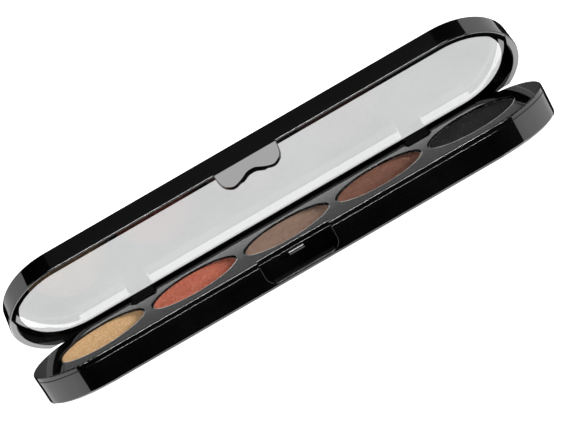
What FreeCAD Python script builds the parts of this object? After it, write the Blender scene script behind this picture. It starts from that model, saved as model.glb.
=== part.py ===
import FreeCAD, Part
import math
import os

V = FreeCAD.Vector
os.makedirs("parts", exist_ok=True)

# ---------------------------------------------------------------- dimensions (mm)
# Whole palette.  Origin: centre of the flat underside.  +X along the palette,
# -Y to the user (clasp side), +Z up.
LENGTH = 158.2            # overall length of base and lid
WIDTH = 39.0              # front of the base to the back of the closed lid
END_R = WIDTH / 2.0       # radius of the rounded ends
HALF_STRAIGHT = LENGTH / 2.0 - END_R

# Base shell and the tray that closes it
WALL_TOP = 7.33           # joint line between shell and tray flange
DECK_TOP = 8.75           # top of the tray
WALL = 1.6                # side wall of the shell
FLOOR = 1.4               # bottom of the shell
REAR_Y = 18.1             # back of the base inside the rear relief
REAR_HALF = 62.5          # half length of the relief the lid's back wall rolls into
BASE_DRAFT = 0.30         # the shell's wall leans in this much at the bottom
BOTTOM_FILLET = 0.85
DECK_FILLET = 0.38
SEAM_FILLET = 0.20
SEAM_GAP = 0.24           # shadow line between shell and tray
SEAM_DEPTH = 0.50
RECESS_SEAM = 0.20        # rounded top edge of the shell inside the thumb recess

# Pans
PITCH = 28.75             # pan to pan
WELL_R = 13.3             # round wells in the tray
WELL_FLOOR = 4.5          # top of the well floor
WELL_SKIN = 0.8
WELL_FILLET = 0.08        # rounded lip of each well
PAN_R = 13.0
PAN_WALL = 0.16
PAN_FLOOR = 0.4
GLUE_R = 9.0
GLUE_T = 0.3
PAN_TOP = 8.32            # rim of a pan, a little below the deck
POWDER_TOP = 8.30

# Thumb recess in the front of the base, with the catch nub on its back wall
RECESS_HALF = 10.85
RECESS_DEPTH = 2.6
RECESS_BOTTOM = 1.30
RECESS_R = 2.7
RECESS_FILLET = 0.20
NUB_HALF = 2.25
NUB_TOP = 6.80
NUB_BOTTOM = 5.40
NUB_OUT = 0.55

# Hinge
HINGE_Y = 15.2
HINGE_Z = 5.1
LUG_X = 43.65             # centres of the two hinge lugs
LUG_W = 6.9
LUG_R = 1.5
NOTCH_W = 7.5
NOTCH_FRONT = 13.4
NOTCH_FLOOR = 3.0
NOTCH_SKIN = 1.3
PIN_R = 0.60
PIN_HOLE_R = 0.61         # tight in the base
LUG_HOLE_R = 0.65         # runs free in the lug
PIN_LEN = 9.8

# Lid, drawn closed and then swung open about the hinge
LID_GAP = 0.15            # rim to deck when closed
RIM_Z = DECK_TOP + LID_GAP
LID_H = 6.5               # rim to the outer face
LID_DRAFT = 0.40          # the lid's wall leans in this much at the outer face
RIM_W = 1.9
FLANGE_DEPTH = 2.9        # rim to the inner ledge around the window
LEDGE_W = 2.0
LEDGE_T = 0.3             # the window sits on this ledge
WINDOW_SEAT = 2.1
WINDOW_T = 3.2            # its outer face lies almost flush with the frame
LID_FILLET = 0.5
RIM_FILLET = 0.45
REAR_RELIEF_Y = 16.3      # behind here the rim is lifted clear of the deck
REAR_RELIEF_START = 13.6  # from here the rim rises to that relief in a slope
REAR_RELIEF = 1.2
OPEN_DEG = 45.0           # how far the lid stands open as stored

# Clasp tab under the lid's front wall
TAB_T = 1.0
TAB_SLANT = 10.0          # leans into the recess
BAR_HALF = 5.6
BAR_TOP = 5.10
BAR_BOTTOM = 3.60
BAR_SHOW = 0.50           # the bar follows the tab's lower edge this far below it
TAB_BEVEL = 0.25


# ---------------------------------------------------------------- helpers
def stadium_wire(inset, z, rear_y=None):
    """Outline with round ends, inset all round; optionally cut straight at the back."""
    r = END_R - inset
    s = HALF_STRAIGHT
    if rear_y is None or rear_y >= r - 1e-6:
        e = [
            Part.makeLine(V(-s, -r, z), V(s, -r, z)),
            Part.Arc(V(s, -r, z), V(s + r, 0, z), V(s, r, z)).toShape(),
            Part.makeLine(V(s, r, z), V(-s, r, z)),
            Part.Arc(V(-s, r, z), V(-s - r, 0, z), V(-s, -r, z)).toShape(),
        ]
    else:
        a = math.asin(rear_y / r)
        m = (a - math.pi / 2) / 2
        xe = s + r * math.cos(a)
        e = [
            Part.makeLine(V(-s, -r, z), V(s, -r, z)),
            Part.Arc(V(s, -r, z), V(s + r * math.cos(m), r * math.sin(m), z), V(xe, rear_y, z)).toShape(),
            Part.makeLine(V(xe, rear_y, z), V(-xe, rear_y, z)),
            Part.Arc(V(-xe, rear_y, z), V(-s - r * math.cos(m), r * math.sin(m), z), V(-s, -r, z)).toShape(),
        ]
    return Part.Wire(e)


def stadium(inset, z0, z1, rear_y=None):
    return Part.Face(stadium_wire(inset, z0, rear_y)).extrude(V(0, 0, z1 - z0))


def drafted(inset0, inset1, z0, z1):
    """The same outline with leaning walls: inset0 at z0, inset1 at z1."""
    r0, r1, s = END_R - inset0, END_R - inset1, HALF_STRAIGHT
    mid = Part.Face(Part.makePolygon([V(-s, -r0, z0), V(-s, r0, z0), V(-s, r1, z1), V(-s, -r1, z1), V(-s, -r0, z0)]))
    body = mid.extrude(V(2 * s, 0, 0))
    for x in (-s, s):
        body = body.fuse(Part.makeCone(r0, r1, z1 - z0, V(x, 0, z0)))
    return body.removeSplitter()


def rear_relief(z0, z1):
    return box(-REAR_HALF, REAR_HALF, REAR_Y, 40, z0, z1)


def box(x0, x1, y0, y1, z0, z1):
    return Part.makeBox(x1 - x0, y1 - y0, z1 - z0, V(x0, y0, z0))


def cyl(r, x, y, z0, z1):
    return Part.makeCylinder(r, z1 - z0, V(x, y, z0))


def rod(r, x0, x1, y, z):
    return Part.makeCylinder(r, x1 - x0, V(x0, y, z), V(1, 0, 0))


def edges_where(shape, test):
    out = []
    for e in shape.Edges:
        b = e.BoundBox
        if test(e, b):
            out.append(e)
    return out


def flat_at(z, tol=1e-4):
    return lambda e, b: abs(b.ZMin - z) < tol and abs(b.ZMax - z) < tol


def round_edges(shape, r, test):
    es = edges_where(shape, test)
    return shape.makeFillet(r, es)


def clean(shape):
    s = shape.removeSplitter()
    return s.Solids[0] if len(s.Solids) == 1 else s


def recess_cut(z1, y_front=-30.0):
    """U-shaped cutter for the thumb recess, open at the top."""
    h, b, r = RECESS_HALF, RECESS_BOTTOM, RECESS_R
    k = math.sqrt(0.5)
    p = [V(-h, y_front, z1), V(-h, y_front, b + r), V(-h + r, y_front, b),
         V(h - r, y_front, b), V(h, y_front, b + r), V(h, y_front, z1)]
    e = [
        Part.makeLine(p[0], p[1]),
        Part.Arc(p[1], V(-h + r - r * k, y_front, b + r - r * k), p[2]).toShape(),
        Part.makeLine(p[2], p[3]),
        Part.Arc(p[3], V(h - r + r * k, y_front, b + r - r * k), p[4]).toShape(),
        Part.makeLine(p[4], p[5]),
        Part.makeLine(p[5], p[0]),
    ]
    depth = (-END_R + RECESS_DEPTH) - y_front
    return Part.Face(Part.Wire(e)).extrude(V(0, depth, 0))


def save(name, shape):
    shape.exportStep("parts/" + name + ".step")


lug_centres = (-LUG_X, LUG_X)
pan_x = [PITCH * (i - 2) for i in range(5)]

# ---------------------------------------------------------------- base shell
shell = drafted(BASE_DRAFT, 0.0, 0.0, WALL_TOP)
shell = round_edges(shell, BOTTOM_FILLET, flat_at(0.0))
shell = round_edges(shell, SEAM_FILLET, flat_at(WALL_TOP))
shell = shell.cut(rear_relief(-1, 20))
cavity = stadium(WALL + BASE_DRAFT, FLOOR, WALL_TOP + 5, REAR_Y - WALL)
# wall behind the thumb recess stays solid
back = -END_R + RECESS_DEPTH
keep = box(-RECESS_HALF - 1.4, RECESS_HALF + 1.4, -40, back + 1.4, FLOOR, WALL_TOP + 6)
# blocks that carry the hinge pins
for cx in lug_centres:
    keep = keep.fuse(box(cx - NOTCH_W / 2 - NOTCH_SKIN, cx + NOTCH_W / 2 + NOTCH_SKIN,
                         NOTCH_FRONT - NOTCH_SKIN, 40, FLOOR, WALL_TOP + 6))
shell = shell.cut(cavity.cut(keep))
shell = shell.cut(recess_cut(WALL_TOP + 1))
for cx in lug_centres:
    shell = shell.cut(box(cx - NOTCH_W / 2, cx + NOTCH_W / 2, NOTCH_FRONT, 40, NOTCH_FLOOR, 40))
    shell = shell.cut(rod(PIN_HOLE_R, cx - 5.6, cx + 5.6, HINGE_Y, HINGE_Z))
# catch nub, a rounded wedge on the recess wall
zm = (NUB_TOP + NUB_BOTTOM) / 2
nub_wire = Part.Wire([
    Part.makeLine(V(-NUB_HALF, back + 0.2, NUB_TOP), V(-NUB_HALF, back, NUB_TOP)),
    Part.Arc(V(-NUB_HALF, back, NUB_TOP), V(-NUB_HALF, back - NUB_OUT, zm), V(-NUB_HALF, back, NUB_BOTTOM)).toShape(),
    Part.makeLine(V(-NUB_HALF, back, NUB_BOTTOM), V(-NUB_HALF, back + 0.2, NUB_BOTTOM)),
    Part.makeLine(V(-NUB_HALF, back + 0.2, NUB_BOTTOM), V(-NUB_HALF, back + 0.2, NUB_TOP)),
])
nub = Part.Face(nub_wire).extrude(V(2 * NUB_HALF, 0, 0))
shell = clean(shell.fuse(nub))
shell = clean(round_edges(shell, RECESS_FILLET, lambda e, b: b.YMax < -18.9 and b.XMin > -RECESS_HALF - 0.01
                          and b.XMax < RECESS_HALF + 0.01 and b.ZMin > RECESS_BOTTOM - 0.01 and b.ZMax < WALL_TOP + 0.01
                          and b.YMin < -19.0))

shell = clean(round_edges(shell, RECESS_SEAM, lambda e, b: b.ZMin > WALL_TOP - 1e-3 and b.YMax < back + 0.01 and b.YMin > back - 0.01
                          and b.XLength > 20 and abs(b.XMin + b.XMax) < 0.1 and b.XMax < RECESS_HALF + 0.01))

# ---------------------------------------------------------------- tray with the wells
tray = stadium(0.0, WALL_TOP, DECK_TOP)
tray = tray.cut(stadium(-1.0, WALL_TOP - 1, WALL_TOP + SEAM_GAP).cut(stadium(SEAM_DEPTH, WALL_TOP - 2, WALL_TOP + SEAM_GAP + 1)))
tray = tray.cut(rear_relief(0, 20))
for x in pan_x:
    tray = tray.fuse(cyl(WELL_R + 0.7, x, 0, WELL_FLOOR - WELL_SKIN, WALL_TOP + 0.3))
tray = tray.cut(recess_cut(DECK_TOP + 1))
for cx in lug_centres:
    tray = tray.cut(box(cx - NOTCH_W / 2, cx + NOTCH_W / 2, NOTCH_FRONT, 40, 2.0, 40))
tray = tray.removeSplitter()
tray = round_edges(tray, DECK_FILLET, flat_at(DECK_TOP))
for x in pan_x:
    tray = tray.cut(cyl(WELL_R, x, 0, WELL_FLOOR, DECK_TOP + 1))
tray = round_edges(tray, WELL_FILLET, lambda e, b: abs(b.ZMin - DECK_TOP) < 1e-4 and abs(b.ZMax - DECK_TOP) < 1e-4
                   and abs(b.XLength - 2 * WELL_R) < 0.01)
tray = clean(tray)

# ---------------------------------------------------------------- pans, powders, glue
pans, powders, discs = [], [], []
pan_z0 = WELL_FLOOR + GLUE_T
for x in pan_x:
    p = cyl(PAN_R, x, 0, pan_z0, PAN_TOP)
    p = round_edges(p, 0.15, flat_at(pan_z0))
    p = p.cut(cyl(PAN_R - PAN_WALL, x, 0, pan_z0 + PAN_FLOOR, PAN_TOP + 1))
    pans.append(clean(p))
    powders.append(cyl(PAN_R - PAN_WALL, x, 0, pan_z0 + PAN_FLOOR, POWDER_TOP))
    discs.append(cyl(GLUE_R, x, 0, WELL_FLOOR, pan_z0))

# ---------------------------------------------------------------- lid frame (closed)
top = RIM_Z + LID_H
frame = drafted(0.0, LID_DRAFT, RIM_Z, top)
frame = round_edges(frame, LID_FILLET, flat_at(top))
frame = round_edges(frame, RIM_FILLET, flat_at(RIM_Z))
frame = frame.cut(stadium(RIM_W, RIM_Z - 1, RIM_Z + FLANGE_DEPTH))
opening_inset = RIM_W + LEDGE_W
frame = frame.cut(stadium(opening_inset, RIM_Z - 1, top + 1))
seat_inset = opening_inset - WINDOW_SEAT
window_z0 = RIM_Z + FLANGE_DEPTH + LEDGE_T
frame = frame.cut(stadium(seat_inset, window_z0, top + 1))
relief = Part.Face(Part.makePolygon([
    V(-100, REAR_RELIEF_START - 0.2, RIM_Z - 1), V(-100, REAR_RELIEF_START, RIM_Z), V(-100, REAR_RELIEF_Y, RIM_Z + REAR_RELIEF),
    V(-100, 40, RIM_Z + REAR_RELIEF), V(-100, 40, RIM_Z - 1), V(-100, REAR_RELIEF_START - 0.2, RIM_Z - 1)]))
frame = frame.cut(relief.extrude(V(200, 0, 0)))
inner_y = END_R - RIM_W
for cx in lug_centres:
    x0 = cx - LUG_W / 2
    poly = Part.makePolygon([
        V(x0, HINGE_Y - LUG_R, HINGE_Z), V(x0, HINGE_Y - LUG_R, RIM_Z + 1.7), V(x0, inner_y + 1.3, RIM_Z + 1.7),
        V(x0, inner_y + 1.3, RIM_Z + 0.9), V(x0, HINGE_Y + LUG_R, RIM_Z - 0.3), V(x0, HINGE_Y + LUG_R, HINGE_Z),
        V(x0, HINGE_Y - LUG_R, HINGE_Z)])
    arm = Part.Face(poly).extrude(V(LUG_W, 0, 0))
    lug = arm.fuse(rod(LUG_R, x0, x0 + LUG_W, HINGE_Y, HINGE_Z))
    frame = frame.fuse(lug)
frame = frame.removeSplitter()
for cx in lug_centres:
    frame = frame.cut(rod(LUG_HOLE_R, cx - 5, cx + 5, HINGE_Y, HINGE_Z))
frame = clean(frame)

# ---------------------------------------------------------------- lid window (closed)
window = stadium(seat_inset + 0.05, window_z0, window_z0 + WINDOW_T)
window = clean(round_edges(window, 0.3, flat_at(window_z0 + WINDOW_T)))

# ---------------------------------------------------------------- clasp tab (closed)
half_pts = [(0.0, 3.70), (1.25, 3.86), (2.26, 4.35), (3.60, 5.00), (4.96, 5.48), (6.30, 5.64),
            (7.65, 5.07), (8.50, 4.35), (9.13, 3.20), (9.47, 1.60), (9.60, 0.0)]
lower = [V(-x, 0, RIM_Z - d) for x, d in reversed(half_pts)] + [V(x, 0, RIM_Z - d) for x, d in half_pts[1:]]
curve = Part.BSplineCurve()
curve.interpolate(lower)
top_z = RIM_Z + 0.5
outline = Part.Wire([
    curve.toShape(),
    Part.makeLine(lower[-1], V(9.60, 0, top_z)),
    Part.makeLine(V(9.60, 0, top_z), V(-9.60, 0, top_z)),
    Part.makeLine(V(-9.60, 0, top_z), lower[0]),
])
plate = Part.Face(outline).extrude(V(0, 30, 0))
plate.translate(V(0, -END_R - 5, 0))
t = math.tan(math.radians(TAB_SLANT))
y_top = -END_R
slab_wire = Part.makePolygon([
    V(-15, y_top, RIM_Z + 0.5), V(-15, y_top, RIM_Z), V(-15, y_top + 7 * t, RIM_Z - 7),
    V(-15, y_top + 7 * t + TAB_T, RIM_Z - 7), V(-15, y_top + TAB_T, RIM_Z), V(-15, y_top + TAB_T, RIM_Z + 0.5),
    V(-15, y_top, RIM_Z + 0.5)])
slab = Part.Face(slab_wire).extrude(V(30, 0, 0))
tab = plate.common(slab)


def on_tab_face(e, b):
    """Outer edge of the tab's two lobes and sides, below the lid's rim."""
    pts = e.discretize(7)
    return b.ZMin < RIM_Z - 1.0 and all(abs(q.y - (y_top + (RIM_Z - q.z) * t)) < 0.01 for q in pts)


bar_in = y_top + (RIM_Z - BAR_BOTTOM) * t + 0.45
bar = box(-BAR_HALF, BAR_HALF, bar_in, y_top + (RIM_Z - BAR_BOTTOM) * t + TAB_T - 0.15, BAR_BOTTOM, BAR_TOP + 0.9)
bar = bar.common(slab.fuse(box(-15, 15, -19.2, -17.75, 3.0, BAR_TOP)))
bar_edge = plate.copy()
bar_edge.translate(V(0, 0, -BAR_SHOW))
bar = bar.common(bar_edge)
tab = clean(tab.cut(frame))
tab = clean(tab.makeChamfer(TAB_BEVEL, edges_where(tab, on_tab_face)))
tab = clean(tab.fuse(bar.cut(frame)))

# ---------------------------------------------------------------- hinge pins
pins = [rod(PIN_R, cx - PIN_LEN / 2, cx + PIN_LEN / 2, HINGE_Y, HINGE_Z) for cx in lug_centres]

# ---------------------------------------------------------------- swing the lid open and save
hinge_point = V(0, HINGE_Y, HINGE_Z)
for s in (frame, window, tab):
    s.rotate(hinge_point, V(1, 0, 0), -OPEN_DEG)

save("base_shell", shell)
save("pan_tray", tray)
for i in range(5):
    save("pan_%d" % (i + 1), pans[i])
    save("powder_%d" % (i + 1), powders[i])
save("glue_discs", Part.makeCompound(discs))
save("hinge_pin_left", pins[0])
save("hinge_pin_right", pins[1])
save("lid_frame", frame)
save("lid_window", window)
save("clasp_tab", tab)

for n, s in (("shell", shell), ("tray", tray), ("frame", frame), ("window", window), ("tab", tab), ("pan", pans[0]), ("powder", powders[0])):
    print(n, s.ShapeType, "solids", len(s.Solids), "valid", s.isValid(), "volume", round(s.Volume, 1), s.BoundBox)
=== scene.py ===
import math
import random

import bpy
from mathutils import Matrix, Vector, noise


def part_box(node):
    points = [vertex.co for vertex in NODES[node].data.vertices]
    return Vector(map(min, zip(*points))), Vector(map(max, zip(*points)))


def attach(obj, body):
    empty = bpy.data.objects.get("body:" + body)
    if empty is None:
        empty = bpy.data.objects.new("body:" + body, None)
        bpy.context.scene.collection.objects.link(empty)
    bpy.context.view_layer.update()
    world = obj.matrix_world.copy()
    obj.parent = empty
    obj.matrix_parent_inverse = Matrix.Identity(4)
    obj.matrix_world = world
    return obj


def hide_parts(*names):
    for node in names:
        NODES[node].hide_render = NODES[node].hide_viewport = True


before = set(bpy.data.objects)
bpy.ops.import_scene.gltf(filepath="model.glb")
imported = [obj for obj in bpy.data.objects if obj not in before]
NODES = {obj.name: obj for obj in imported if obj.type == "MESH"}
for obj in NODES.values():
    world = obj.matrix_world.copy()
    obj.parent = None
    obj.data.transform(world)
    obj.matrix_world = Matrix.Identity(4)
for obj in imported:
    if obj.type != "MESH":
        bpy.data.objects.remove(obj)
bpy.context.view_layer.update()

MM = 0.001


# ---------------------------------------------------------------- node helpers
def new_material(name):
    m = bpy.data.materials.new(name)
    m.use_nodes = True
    nt = m.node_tree
    nt.nodes.clear()
    out = nt.nodes.new("ShaderNodeOutputMaterial")
    bsdf = nt.nodes.new("ShaderNodeBsdfPrincipled")
    nt.links.new(bsdf.outputs["BSDF"], out.inputs["Surface"])
    return m, nt, bsdf


def coords(nt, kind="Object", loc=(0, 0, 0), scale=(1, 1, 1), rot=(0, 0, 0)):
    tc = nt.nodes.new("ShaderNodeTexCoord")
    mp = nt.nodes.new("ShaderNodeMapping")
    mp.inputs["Location"].default_value = loc
    mp.inputs["Rotation"].default_value = rot
    mp.inputs["Scale"].default_value = scale
    nt.links.new(tc.outputs[kind], mp.inputs["Vector"])
    return mp.outputs["Vector"]


def noise_tex(nt, vec, scale, detail=4.0, rough=0.55, distortion=0.0):
    n = nt.nodes.new("ShaderNodeTexNoise")
    n.inputs["Scale"].default_value = scale
    n.inputs["Detail"].default_value = detail
    n.inputs["Roughness"].default_value = rough
    n.inputs["Distortion"].default_value = distortion
    nt.links.new(vec, n.inputs["Vector"])
    return n.outputs["Fac"]


def voronoi(nt, vec, scale, feature="F1", out="Distance", randomness=1.0):
    n = nt.nodes.new("ShaderNodeTexVoronoi")
    n.feature = feature
    n.inputs["Scale"].default_value = scale
    n.inputs["Randomness"].default_value = randomness
    nt.links.new(vec, n.inputs["Vector"])
    return n.outputs[out]


def ramp(nt, fac, stops, interp="LINEAR"):
    n = nt.nodes.new("ShaderNodeValToRGB")
    cr = n.color_ramp
    cr.interpolation = interp
    while len(cr.elements) < len(stops):
        cr.elements.new(0.5)
    for e, (p, c) in zip(cr.elements, stops):
        e.position = p
        e.color = (c[0], c[1], c[2], 1.0)
    nt.links.new(fac, n.inputs["Fac"])
    return n.outputs["Color"]


def remap(nt, val, a, b, c, d):
    n = nt.nodes.new("ShaderNodeMapRange")
    n.inputs["From Min"].default_value = a
    n.inputs["From Max"].default_value = b
    n.inputs["To Min"].default_value = c
    n.inputs["To Max"].default_value = d
    nt.links.new(val, n.inputs["Value"])
    return n.outputs["Result"]


def math_node(nt, op, a, b):
    n = nt.nodes.new("ShaderNodeMath")
    n.operation = op
    for i, v in enumerate((a, b)):
        if isinstance(v, (int, float)):
            n.inputs[i].default_value = v
        else:
            nt.links.new(v, n.inputs[i])
    return n.outputs["Value"]


def mix_color(nt, fac, a, b, mode="MIX"):
    n = nt.nodes.new("ShaderNodeMix")
    n.data_type = "RGBA"
    n.blend_type = mode
    if isinstance(fac, (int, float)):
        n.inputs["Factor"].default_value = fac
    else:
        nt.links.new(fac, n.inputs["Factor"])
    for sock, v in ((n.inputs[6], a), (n.inputs[7], b)):
        if isinstance(v, tuple):
            sock.default_value = (v[0], v[1], v[2], 1.0)
        else:
            nt.links.new(v, sock)
    return n.outputs[2]


def bump(nt, bsdf, height, dist, strength=1.0, under=None):
    n = nt.nodes.new("ShaderNodeBump")
    n.inputs["Strength"].default_value = strength
    n.inputs["Distance"].default_value = dist
    nt.links.new(height, n.inputs["Height"])
    if under is not None:
        nt.links.new(under, n.inputs["Normal"])
    nt.links.new(n.outputs["Normal"], bsdf.inputs["Normal"])
    return n.outputs["Normal"]


# ---------------------------------------------------------------- materials
def black_plastic(name, seed, tone=1.0, lip_highlight=False):
    m, nt, b = new_material(name)
    v = coords(nt, "Object", (seed * 0.37, seed * 0.11, seed * 0.23))
    cloud = noise_tex(nt, v, 55.0, 5.0, 0.6)
    nt.links.new(
        ramp(nt, cloud, [(0.30, (0.0009 * tone, 0.0009 * tone, 0.0010 * tone)),
                         (0.70, (0.0024 * tone, 0.0024 * tone, 0.0026 * tone))]),
        b.inputs["Base Color"])
    fine = noise_tex(nt, v, 900.0, 6.0, 0.65)
    haze = noise_tex(nt, v, 130.0, 4.0, 0.55)
    both = math_node(nt, "ADD", math_node(nt, "MULTIPLY", fine, 0.35), math_node(nt, "MULTIPLY", haze, 0.65))
    nt.links.new(remap(nt, both, 0.30, 0.70, 0.030, 0.055), b.inputs["Roughness"])
    b.inputs["IOR"].default_value = 1.50
    b.inputs["Specular IOR Level"].default_value = 0.5
    wave = noise_tex(nt, v, 70.0, 2.0, 0.5)
    n1 = bump(nt, b, wave, 1.2e-6, 1.0)
    bump(nt, b, fine, 2.0e-8, 1.0, n1)
    # painted highlight: pale colour laid along the front lip of each well
    if lip_highlight:
        painted_lip_highlight(nt, b)
    return m


def painted_lip_highlight(nt, b):
    """Painted highlight: a pale speckled line along the front lip of each well, standing in for the light caught on
    that edge.
    """
    o = coords(nt, "Object")
    sep = nt.nodes.new("ShaderNodeSeparateXYZ")
    nt.links.new(o, sep.inputs[0])
    x, y, z = sep.outputs[0], sep.outputs[1], sep.outputs[2]
    pitch = 28.75 * MM
    step = math_node(nt, "ROUND", math_node(nt, "DIVIDE", x, pitch), 0.0)
    step = math_node(nt, "MAXIMUM", math_node(nt, "MINIMUM", step, 2.0), -2.0)
    near = math_node(nt, "MULTIPLY", step, pitch)
    dx = math_node(nt, "SUBTRACT", x, near)
    r = math_node(nt, "SQRT", math_node(nt, "ADD", math_node(nt, "MULTIPLY", dx, dx), math_node(nt, "MULTIPLY", y, y)), 0.0)
    inner = remap(nt, r, 13.30 * MM, 13.36 * MM, 0.0, 1.0)
    outer = remap(nt, r, 13.56 * MM, 13.68 * MM, 1.0, 0.0)
    lean = math_node(nt, "SUBTRACT", y, math_node(nt, "MULTIPLY", dx, 0.14))
    front = remap(nt, lean, -7.5 * MM, -2.5 * MM, 1.0, 0.0)
    top = remap(nt, z, 8.55 * MM, 8.62 * MM, 0.0, 1.0)
    speck = remap(nt, noise_tex(nt, o, 1500.0, 3.0, 0.6), 0.36, 0.60, 0.70, 1.0)
    mask = speck
    for k in (inner, outer, front, top):
        mask = math_node(nt, "MULTIPLY", mask, k)
    old_col = b.inputs["Base Color"].links[0].from_socket
    old_rough = b.inputs["Roughness"].links[0].from_socket
    # painted highlight: pale near-white colour and raised roughness mixed in on the front lip mask
    nt.links.new(mix_color(nt, mask, old_col, (0.86, 0.81, 0.77)), b.inputs["Base Color"])
    nt.links.new(math_node(nt, "ADD", old_rough, math_node(nt, "MULTIPLY", mask, 0.7)), b.inputs["Roughness"])


def clear_plastic(name):
    m, nt, b = new_material(name)
    v = coords(nt, "Object", (0.3, 0.7, 0.1))
    cloud = noise_tex(nt, v, 40.0, 4.0, 0.55)
    nt.links.new(ramp(nt, cloud, [(0.30, (0.424, 0.427, 0.430)), (0.70, (0.457, 0.460, 0.463))]), b.inputs["Base Color"])
    haze = noise_tex(nt, v, 160.0, 5.0, 0.6)
    nt.links.new(remap(nt, haze, 0.3, 0.7, 0.010, 0.030), b.inputs["Roughness"])
    b.inputs["Transmission Weight"].default_value = 1.0
    b.inputs["IOR"].default_value = 1.49
    wave = noise_tex(nt, v, 60.0, 2.0, 0.5)
    bump(nt, b, wave, 1.0e-6, 1.0)
    return m


def pan_metal(name):
    m, nt, b = new_material(name)
    g = coords(nt, "Generated", (-0.5, -0.5, 0.0))
    rings = nt.nodes.new("ShaderNodeTexWave")
    rings.wave_type = "RINGS"
    rings.rings_direction = "Z"
    rings.inputs["Scale"].default_value = 46.0
    rings.inputs["Distortion"].default_value = 0.6
    rings.inputs["Detail"].default_value = 3.0
    nt.links.new(g, rings.inputs["Vector"])
    o = coords(nt, "Object")
    grain = noise_tex(nt, o, 1600.0, 5.0, 0.6)
    cloud = noise_tex(nt, o, 120.0, 3.0, 0.5)
    nt.links.new(ramp(nt, cloud, [(0.3, (0.36, 0.36, 0.355)), (0.7, (0.46, 0.46, 0.452))]), b.inputs["Base Color"])
    nt.links.new(remap(nt, grain, 0.3, 0.7, 0.20, 0.30), b.inputs["Roughness"])
    b.inputs["Metallic"].default_value = 1.0
    n1 = bump(nt, b, rings.outputs["Fac"], 4.0e-6, 0.6)
    bump(nt, b, grain, 3.0e-6, 0.6, n1)
    return m


def pin_steel(name):
    m, nt, b = new_material(name)
    o = coords(nt, "Object", scale=(0.15, 1, 1))
    draw = noise_tex(nt, o, 3000.0, 4.0, 0.6)
    nt.links.new(ramp(nt, draw, [(0.3, (0.48, 0.48, 0.49)), (0.7, (0.66, 0.66, 0.66))]), b.inputs["Base Color"])
    nt.links.new(remap(nt, draw, 0.3, 0.7, 0.22, 0.38), b.inputs["Roughness"])
    b.inputs["Metallic"].default_value = 1.0
    bump(nt, b, draw, 3.0e-6, 0.6)
    return m


def glue(name):
    m, nt, b = new_material(name)
    o = coords(nt, "Object")
    cloud = noise_tex(nt, o, 350.0, 5.0, 0.6)
    nt.links.new(ramp(nt, cloud, [(0.3, (0.66, 0.62, 0.50)), (0.7, (0.80, 0.77, 0.68))]), b.inputs["Base Color"])
    nt.links.new(remap(nt, cloud, 0.3, 0.7, 0.45, 0.62), b.inputs["Roughness"])
    bump(nt, b, cloud, 4.0e-5, 0.6)
    return m


def powder_material(name, dark, mid, light, fleck=None, fleck_amount=0.0, rough=(0.80, 0.95), spec=0.06):
    """Pressed powder: packed grain in three tones, with sparse bright flecks of mica."""
    m, nt, b = new_material(name)
    v = coords(nt, "Object")
    grain = noise_tex(nt, v, 1900.0, 4.0, 0.75)
    cloud = noise_tex(nt, v, 210.0, 4.0, 0.6)
    tone = math_node(nt, "ADD", math_node(nt, "MULTIPLY", grain, 0.80), math_node(nt, "MULTIPLY", cloud, 0.20))
    col = ramp(nt, tone, [(0.41, dark), (0.50, mid), (0.59, light)])
    r = remap(nt, grain, 0.3, 0.7, rough[0], rough[1])
    if fleck is not None:
        cell = voronoi(nt, v, 6500.0, "F1", "Color")
        sep = nt.nodes.new("ShaderNodeSeparateColor")
        nt.links.new(cell, sep.inputs["Color"])
        hit = remap(nt, sep.outputs["Red"], 1.0 - fleck_amount, 1.0 - fleck_amount * 0.55, 0.0, 1.0)
        col = mix_color(nt, hit, col, fleck)
        nt.links.new(math_node(nt, "MULTIPLY", hit, 0.35), b.inputs["Metallic"])
        r = math_node(nt, "SUBTRACT", r, math_node(nt, "MULTIPLY", hit, 0.34))
    nt.links.new(col, b.inputs["Base Color"])
    nt.links.new(r, b.inputs["Roughness"])
    b.inputs["Specular IOR Level"].default_value = spec
    n1 = bump(nt, b, cloud, 2.0e-5, 0.5)
    bump(nt, b, grain, 2.4e-5, 0.55, n1)
    return m


def floor_material(name):
    m, nt, b = new_material(name)
    o = coords(nt, "Object")
    cloud = noise_tex(nt, o, 6.0, 5.0, 0.6)
    grain = noise_tex(nt, o, 700.0, 4.0, 0.6)
    nt.links.new(ramp(nt, cloud, [(0.3, (0.87, 0.87, 0.87)), (0.7, (0.90, 0.90, 0.90))]), b.inputs["Base Color"])
    nt.links.new(remap(nt, grain, 0.3, 0.7, 0.80, 0.92), b.inputs["Roughness"])
    b.inputs["Specular IOR Level"].default_value = 0.1
    b.inputs["Emission Color"].default_value = (1, 1, 1, 1)
    b.inputs["Emission Strength"].default_value = 0.95
    bump(nt, b, grain, 1.0e-5, 0.4)
    return m


# ---------------------------------------------------------------- mesh helpers
def mesh_object(name, verts, faces, material, smooth=True):
    me = bpy.data.meshes.new(name)
    me.from_pydata([tuple(v) for v in verts], [], faces)
    me.validate()
    me.update()
    if smooth:
        me.polygons.foreach_set("use_smooth", [True] * len(me.polygons))
    ob = bpy.data.objects.new(name, me)
    bpy.context.scene.collection.objects.link(ob)
    if material:
        me.materials.append(material)
    return ob


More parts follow.
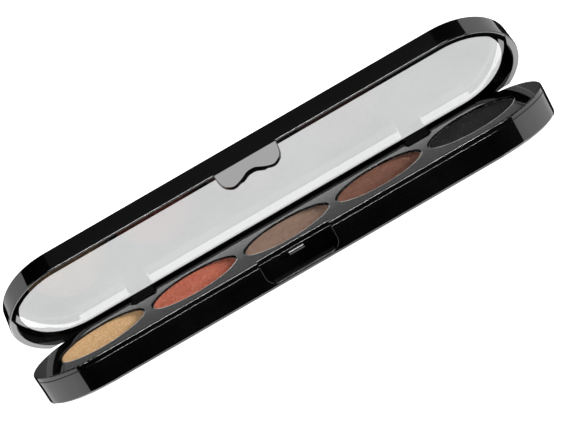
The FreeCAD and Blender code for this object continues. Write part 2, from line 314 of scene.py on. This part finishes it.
def pressed_powder(name, cx, cy, z_bottom, z_top, radius, seed, material):
    """A pressed cake: rolled edge, fine grain and a shallow press relief on top, closed side and underside."""
    rings, around = 64, 288
    rng = random.Random(seed)
    off = Vector((rng.uniform(-50, 50), rng.uniform(-50, 50), rng.uniform(-50, 50)))
    verts, faces = [], []

    def height(x, y, r):
        p = Vector((x, y, 0.0))
        h = 0.013 * noise.noise(p * 2.6 + off)
        h += 0.011 * noise.noise(p * 5.2 - off)
        h += 0.003 * noise.noise(p * 0.42 + off * 0.5)
        edge = max(0.0, (r - (radius - 0.55)) / 0.55)
        h -= 0.030 * edge * edge
        h -= 0.020 * math.exp(-((radius - 0.95 - r) / 0.28) ** 2)
        return z_top - 0.030 + min(h, 0.026)

    verts.append(((cx) * MM, cy * MM, height(0, 0, 0) * MM))
    for i in range(1, rings + 1):
        r = radius * (i / rings)
        for j in range(around):
            a = 2 * math.pi * j / around
            x, y = r * math.cos(a), r * math.sin(a)
            verts.append(((cx + x) * MM, (cy + y) * MM, height(x, y, r) * MM))
    for j in range(around):
        faces.append((0, 1 + j, 1 + (j + 1) % around))
    for i in range(1, rings):
        a0 = 1 + (i - 1) * around
        a1 = 1 + i * around
        for j in range(around):
            k = (j + 1) % around
            faces.append((a0 + j, a1 + j, a1 + k, a0 + k))
    last = 1 + (rings - 1) * around
    for z, r in ((z_bottom + 0.25, radius), (z_bottom, radius - 0.25)):
        start = len(verts)
        for j in range(around):
            a = 2 * math.pi * j / around
            verts.append(((cx + r * math.cos(a)) * MM, (cy + r * math.sin(a)) * MM, z * MM))
        for j in range(around):
            k = (j + 1) % around
            faces.append((last + j, start + j, start + k, last + k))
        last = start
    c = len(verts)
    verts.append((cx * MM, cy * MM, z_bottom * MM))
    for j in range(around):
        faces.append((last + j, c, last + (j + 1) % around))
    return mesh_object(name, verts, faces, material)


# ---------------------------------------------------------------- object
MAT = {
    "base": black_plastic("black_plastic_base", 1.0),
    # the tray carries the painted highlight on the front lips of its wells
    "tray": black_plastic("black_plastic_tray", 2.0, lip_highlight=True),
    "lid": black_plastic("black_plastic_lid", 3.0),
    "tab": black_plastic("black_plastic_tab", 4.0),
    "window": clear_plastic("clear_plastic_window"),
    "pan": pan_metal("pan_aluminium"),
    "pin": pin_steel("pin_steel_drawn"),
    "glue": glue("glue_hot_melt"),
}


def paint(node, material):
    me = NODES[node].data
    me.materials.clear()
    me.materials.append(material)


paint("base_shell", MAT["base"])
paint("pan_tray", MAT["tray"])
paint("lid_frame", MAT["lid"])
paint("clasp_tab", MAT["tab"])
paint("lid_window", MAT["window"])
paint("glue_discs", MAT["glue"])
for n in ("hinge_pin_left", "hinge_pin_right"):
    paint(n, MAT["pin"])
for i in range(1, 6):
    paint(f"pan_{i}", MAT["pan"])
NODES["lid_window"].visible_shadow = False

POWDERS = {
    1: ("powder_gold", (0.44, 0.25, 0.108), (0.57, 0.345, 0.165), (0.69, 0.455, 0.245), (0.93, 0.70, 0.44), 0.10),
    2: ("powder_coral", (0.30, 0.064, 0.041), (0.40, 0.092, 0.058), (0.49, 0.142, 0.092), (0.90, 0.52, 0.30), 0.09),
    3: ("powder_taupe", (0.17, 0.105, 0.074), (0.225, 0.143, 0.103), (0.29, 0.195, 0.145), (0.60, 0.47, 0.38), 0.05),
    4: ("powder_brown", (0.122, 0.052, 0.035), (0.168, 0.074, 0.050), (0.22, 0.105, 0.073), (0.50, 0.29, 0.22), 0.04),
    5: ("powder_black", (0.0058, 0.0058, 0.0058), (0.0095, 0.0095, 0.0097), (0.017, 0.017, 0.017), (0.10, 0.10, 0.10), 0.03),
}
for i, (slot, dark, mid, light, fleck, amount) in POWDERS.items():
    node = f"powder_{i}"
    lo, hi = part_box(node)
    cx, cy = (lo.x + hi.x) / 2 / MM, (lo.y + hi.y) / 2 / MM
    m = powder_material(slot + "_pressed", dark, mid, light, fleck, amount)
    ob = pressed_powder(f"powder_cake_{i}", cx, cy, lo.z / MM, hi.z / MM, (hi.x - lo.x) / 2 / MM, 11 * i + 3, m)
    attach(ob, "base")
    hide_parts(node)


# ---------------------------------------------------------------- stage
def card(name, corners, strength, colour=(1, 1, 1), through_glass=True, fade=None):
    """A studio card that is only seen in reflections."""
    m = bpy.data.materials.new(name)
    m.use_nodes = True
    nt = m.node_tree
    nt.nodes.clear()
    out = nt.nodes.new("ShaderNodeOutputMaterial")
    em = nt.nodes.new("ShaderNodeEmission")
    em.inputs["Color"].default_value = (*colour, 1)
    em.inputs["Strength"].default_value = strength
    if fade is not None:
        axis, stops = fade
        tc = nt.nodes.new("ShaderNodeTexCoord")
        sx = nt.nodes.new("ShaderNodeSeparateXYZ")
        nt.links.new(tc.outputs["Object"], sx.inputs["Vector"])
        lo_, hi_ = stops[0][0], stops[-1][0]
        f = remap(nt, sx.outputs[axis], lo_, hi_, 0.0, 1.0)
        c = ramp(nt, f, [((p - lo_) / (hi_ - lo_), (s, s, s)) for p, s in stops])
        nt.links.new(c, em.inputs["Color"])
    nt.links.new(em.outputs["Emission"], out.inputs["Surface"])
    m.cycles.emission_sampling = "NONE"
    ob = mesh_object(name, corners, [(0, 1, 2, 3)], m, smooth=False)
    ob.visible_camera = False
    ob.visible_diffuse = False
    ob.visible_shadow = False
    ob.visible_volume_scatter = False
    ob.visible_glossy = True
    ob.visible_transmission = through_glass
    return ob


floor = mesh_object("floor", [(-6, -6, -0.00005), (6, -6, -0.00005), (6, 10, -0.00005), (-6, 10, -0.00005)], [(0, 1, 2, 3)],
                    floor_material("floor_pale"), smooth=False)
floor.visible_glossy = False

D = 0.62
for side, s in (("right", 1), ("left", -1)):
    card(f"card_{side}", [(s * D, -0.90 * D, -0.45), (s * D, 1.22 * D, -0.45), (s * D, 1.22 * D, 1.08 * D), (s * D, -0.90 * D, 1.08 * D)], 2.5,
         fade=("Y", [(-0.90 * D, 0.84), (-0.40 * D, 0.96), (0.0, 0.86), (0.58 * D, 0.53), (0.95 * D, 0.50), (1.22 * D, 0.58)]))
X_IN, Y_IN = 0.098, 0.105
card("card_below_front", [(-X_IN, -0.36, -0.40), (X_IN, -0.36, -0.40), (X_IN, Y_IN, -0.40), (-X_IN, Y_IN, -0.40)], 2.9, through_glass=False)
card("card_below_rear", [(-X_IN, Y_IN, -0.40), (X_IN, Y_IN, -0.40), (X_IN, 0.9, -0.40), (-X_IN, 0.9, -0.40)], 1.1, through_glass=False)
for side, s in (("right", 1), ("left", -1)):
    card(f"card_below_{side}", [(s * X_IN, -0.36, -0.40), (s * 1.2, -0.36, -0.40), (s * 1.2, 0.9, -0.40), (s * X_IN, 0.9, -0.40)], 5.3, through_glass=False,
         fade=("X", [(-1.2, 1.0), (-0.118, 1.0), (-X_IN, 0.45), (X_IN, 0.45), (0.118, 1.0), (1.2, 1.0)]))
Y_BACK = 1.50
BACK_L, BACK_R = -0.244, 0.1955
card("card_back", [(BACK_L, Y_BACK, 0.04), (BACK_R, Y_BACK, 0.04), (BACK_R, Y_BACK, 1.1), (BACK_L, Y_BACK, 1.1)], 1.72,
     fade=("Z", [(0.04, 1.0), (0.319, 1.0), (0.331, 0.26), (0.40, 0.26), (0.55, 0.2), (1.1, 0.2)]))
for side, x0, x1 in (("left", -1.2, BACK_L), ("right", BACK_R, 1.2)):
    card(f"card_back_{side}", [(x0, Y_BACK, 0.04), (x1, Y_BACK, 0.04), (x1, Y_BACK, 1.1), (x0, Y_BACK, 1.1)], 1.6,
         fade=("X", [(-0.34, 0.030), (BACK_L - 0.03, 0.060), (BACK_L, 0.085), (BACK_R, 0.085), (BACK_R + 0.03, 0.060), (0.30, 0.030)]))
card("card_back_top", [(-1.2, Y_BACK, 1.12), (1.2, Y_BACK, 1.12), (1.2, 0.45, 1.75), (-1.2, 0.45, 1.75)], 0.5)
card("card_top", [(-0.34, 0.40, 1.75), (0.34, 0.40, 1.75), (0.34, -0.60, 1.75), (-0.34, -0.60, 1.75)], 0.12,
     fade=("X", [(-0.34, 0.0), (-0.20, 1.0), (0.20, 1.0), (0.34, 0.0)]))
def front_card(name, half, el0, el1, dist, strength):
    c0, s0 = dist * math.cos(math.radians(el0)), dist * math.sin(math.radians(el0))
    c1, s1 = dist * math.cos(math.radians(el1)), dist * math.sin(math.radians(el1))
    return card(name, [(-half, -c0, s0), (half, -c0, s0), (half, -c1, s1), (-half, -c1, s1)], strength)


front_card("card_strip", 0.18, 36.0, 39.5, 1.10, 112.0)
front_card("card_fill_low", 0.80, 10.0, 36.0, 1.30, 0.45)
card("card_low_front", [(-0.60, -0.52, -0.40), (0.60, -0.52, -0.40), (0.60, -0.36, -0.40), (-0.60, -0.36, -0.40)], 8.0, through_glass=False)
front_card("card_front", 0.26, 47.0, 67.0, 0.95, 9.2)


def sun(name, azimuth, elevation, strength, angle):
    """Azimuth 0 is the front, 90 the right."""
    d = bpy.data.lights.new(name, "SUN")
    d.energy = strength
    d.angle = math.radians(angle)
    ob = bpy.data.objects.new(name, d)
    bpy.context.scene.collection.objects.link(ob)
    a, e = math.radians(azimuth), math.radians(elevation)
    way = Vector((math.sin(a) * math.cos(e), -math.cos(a) * math.cos(e), math.sin(e)))
    ob.rotation_mode = "QUATERNION"
    ob.rotation_quaternion = way.to_track_quat("Z", "Y")
    ob.visible_glossy = False
    return ob


sun("sun_right", 78, 6.3, 10.7, 6)
sun("sun_right_rear", 118, 7.9, 5.05, 6)
sun("sun_front", -8, 58, 0.20, 28)

world = bpy.data.worlds.new("studio")
bpy.context.scene.world = world
world.use_nodes = True
bg = world.node_tree.nodes["Background"]
bg.inputs["Color"].default_value = (1, 1, 1, 1)
bg.inputs["Strength"].default_value = 0.07
world.cycles_visibility.glossy = False
world.cycles_visibility.transmission = False

# ---------------------------------------------------------------- camera
cam = bpy.data.cameras.new("camera")
cam.sensor_fit = "HORIZONTAL"
cam.sensor_width = 36.0
cam.lens = 179.19
cam.clip_start, cam.clip_end = 0.01, 40.0
cam_ob = bpy.data.objects.new("camera", cam)
bpy.context.scene.collection.objects.link(cam_ob)
right = Vector((0.86562691, -0.08898746, -0.49271825))
up = Vector((0.50040467, 0.18695328, 0.84536598))
back = Vector((0.01688832, -0.97833006, 0.20636153))
rot = Matrix((right, up, back)).transposed().to_4x4()
cam_ob.matrix_world = Matrix.Translation(Vector((12.308, -739.416, 166.605)) * MM) @ rot
bpy.context.scene.camera = cam_ob
bpy.context.scene.view_settings.view_transform = "Standard"
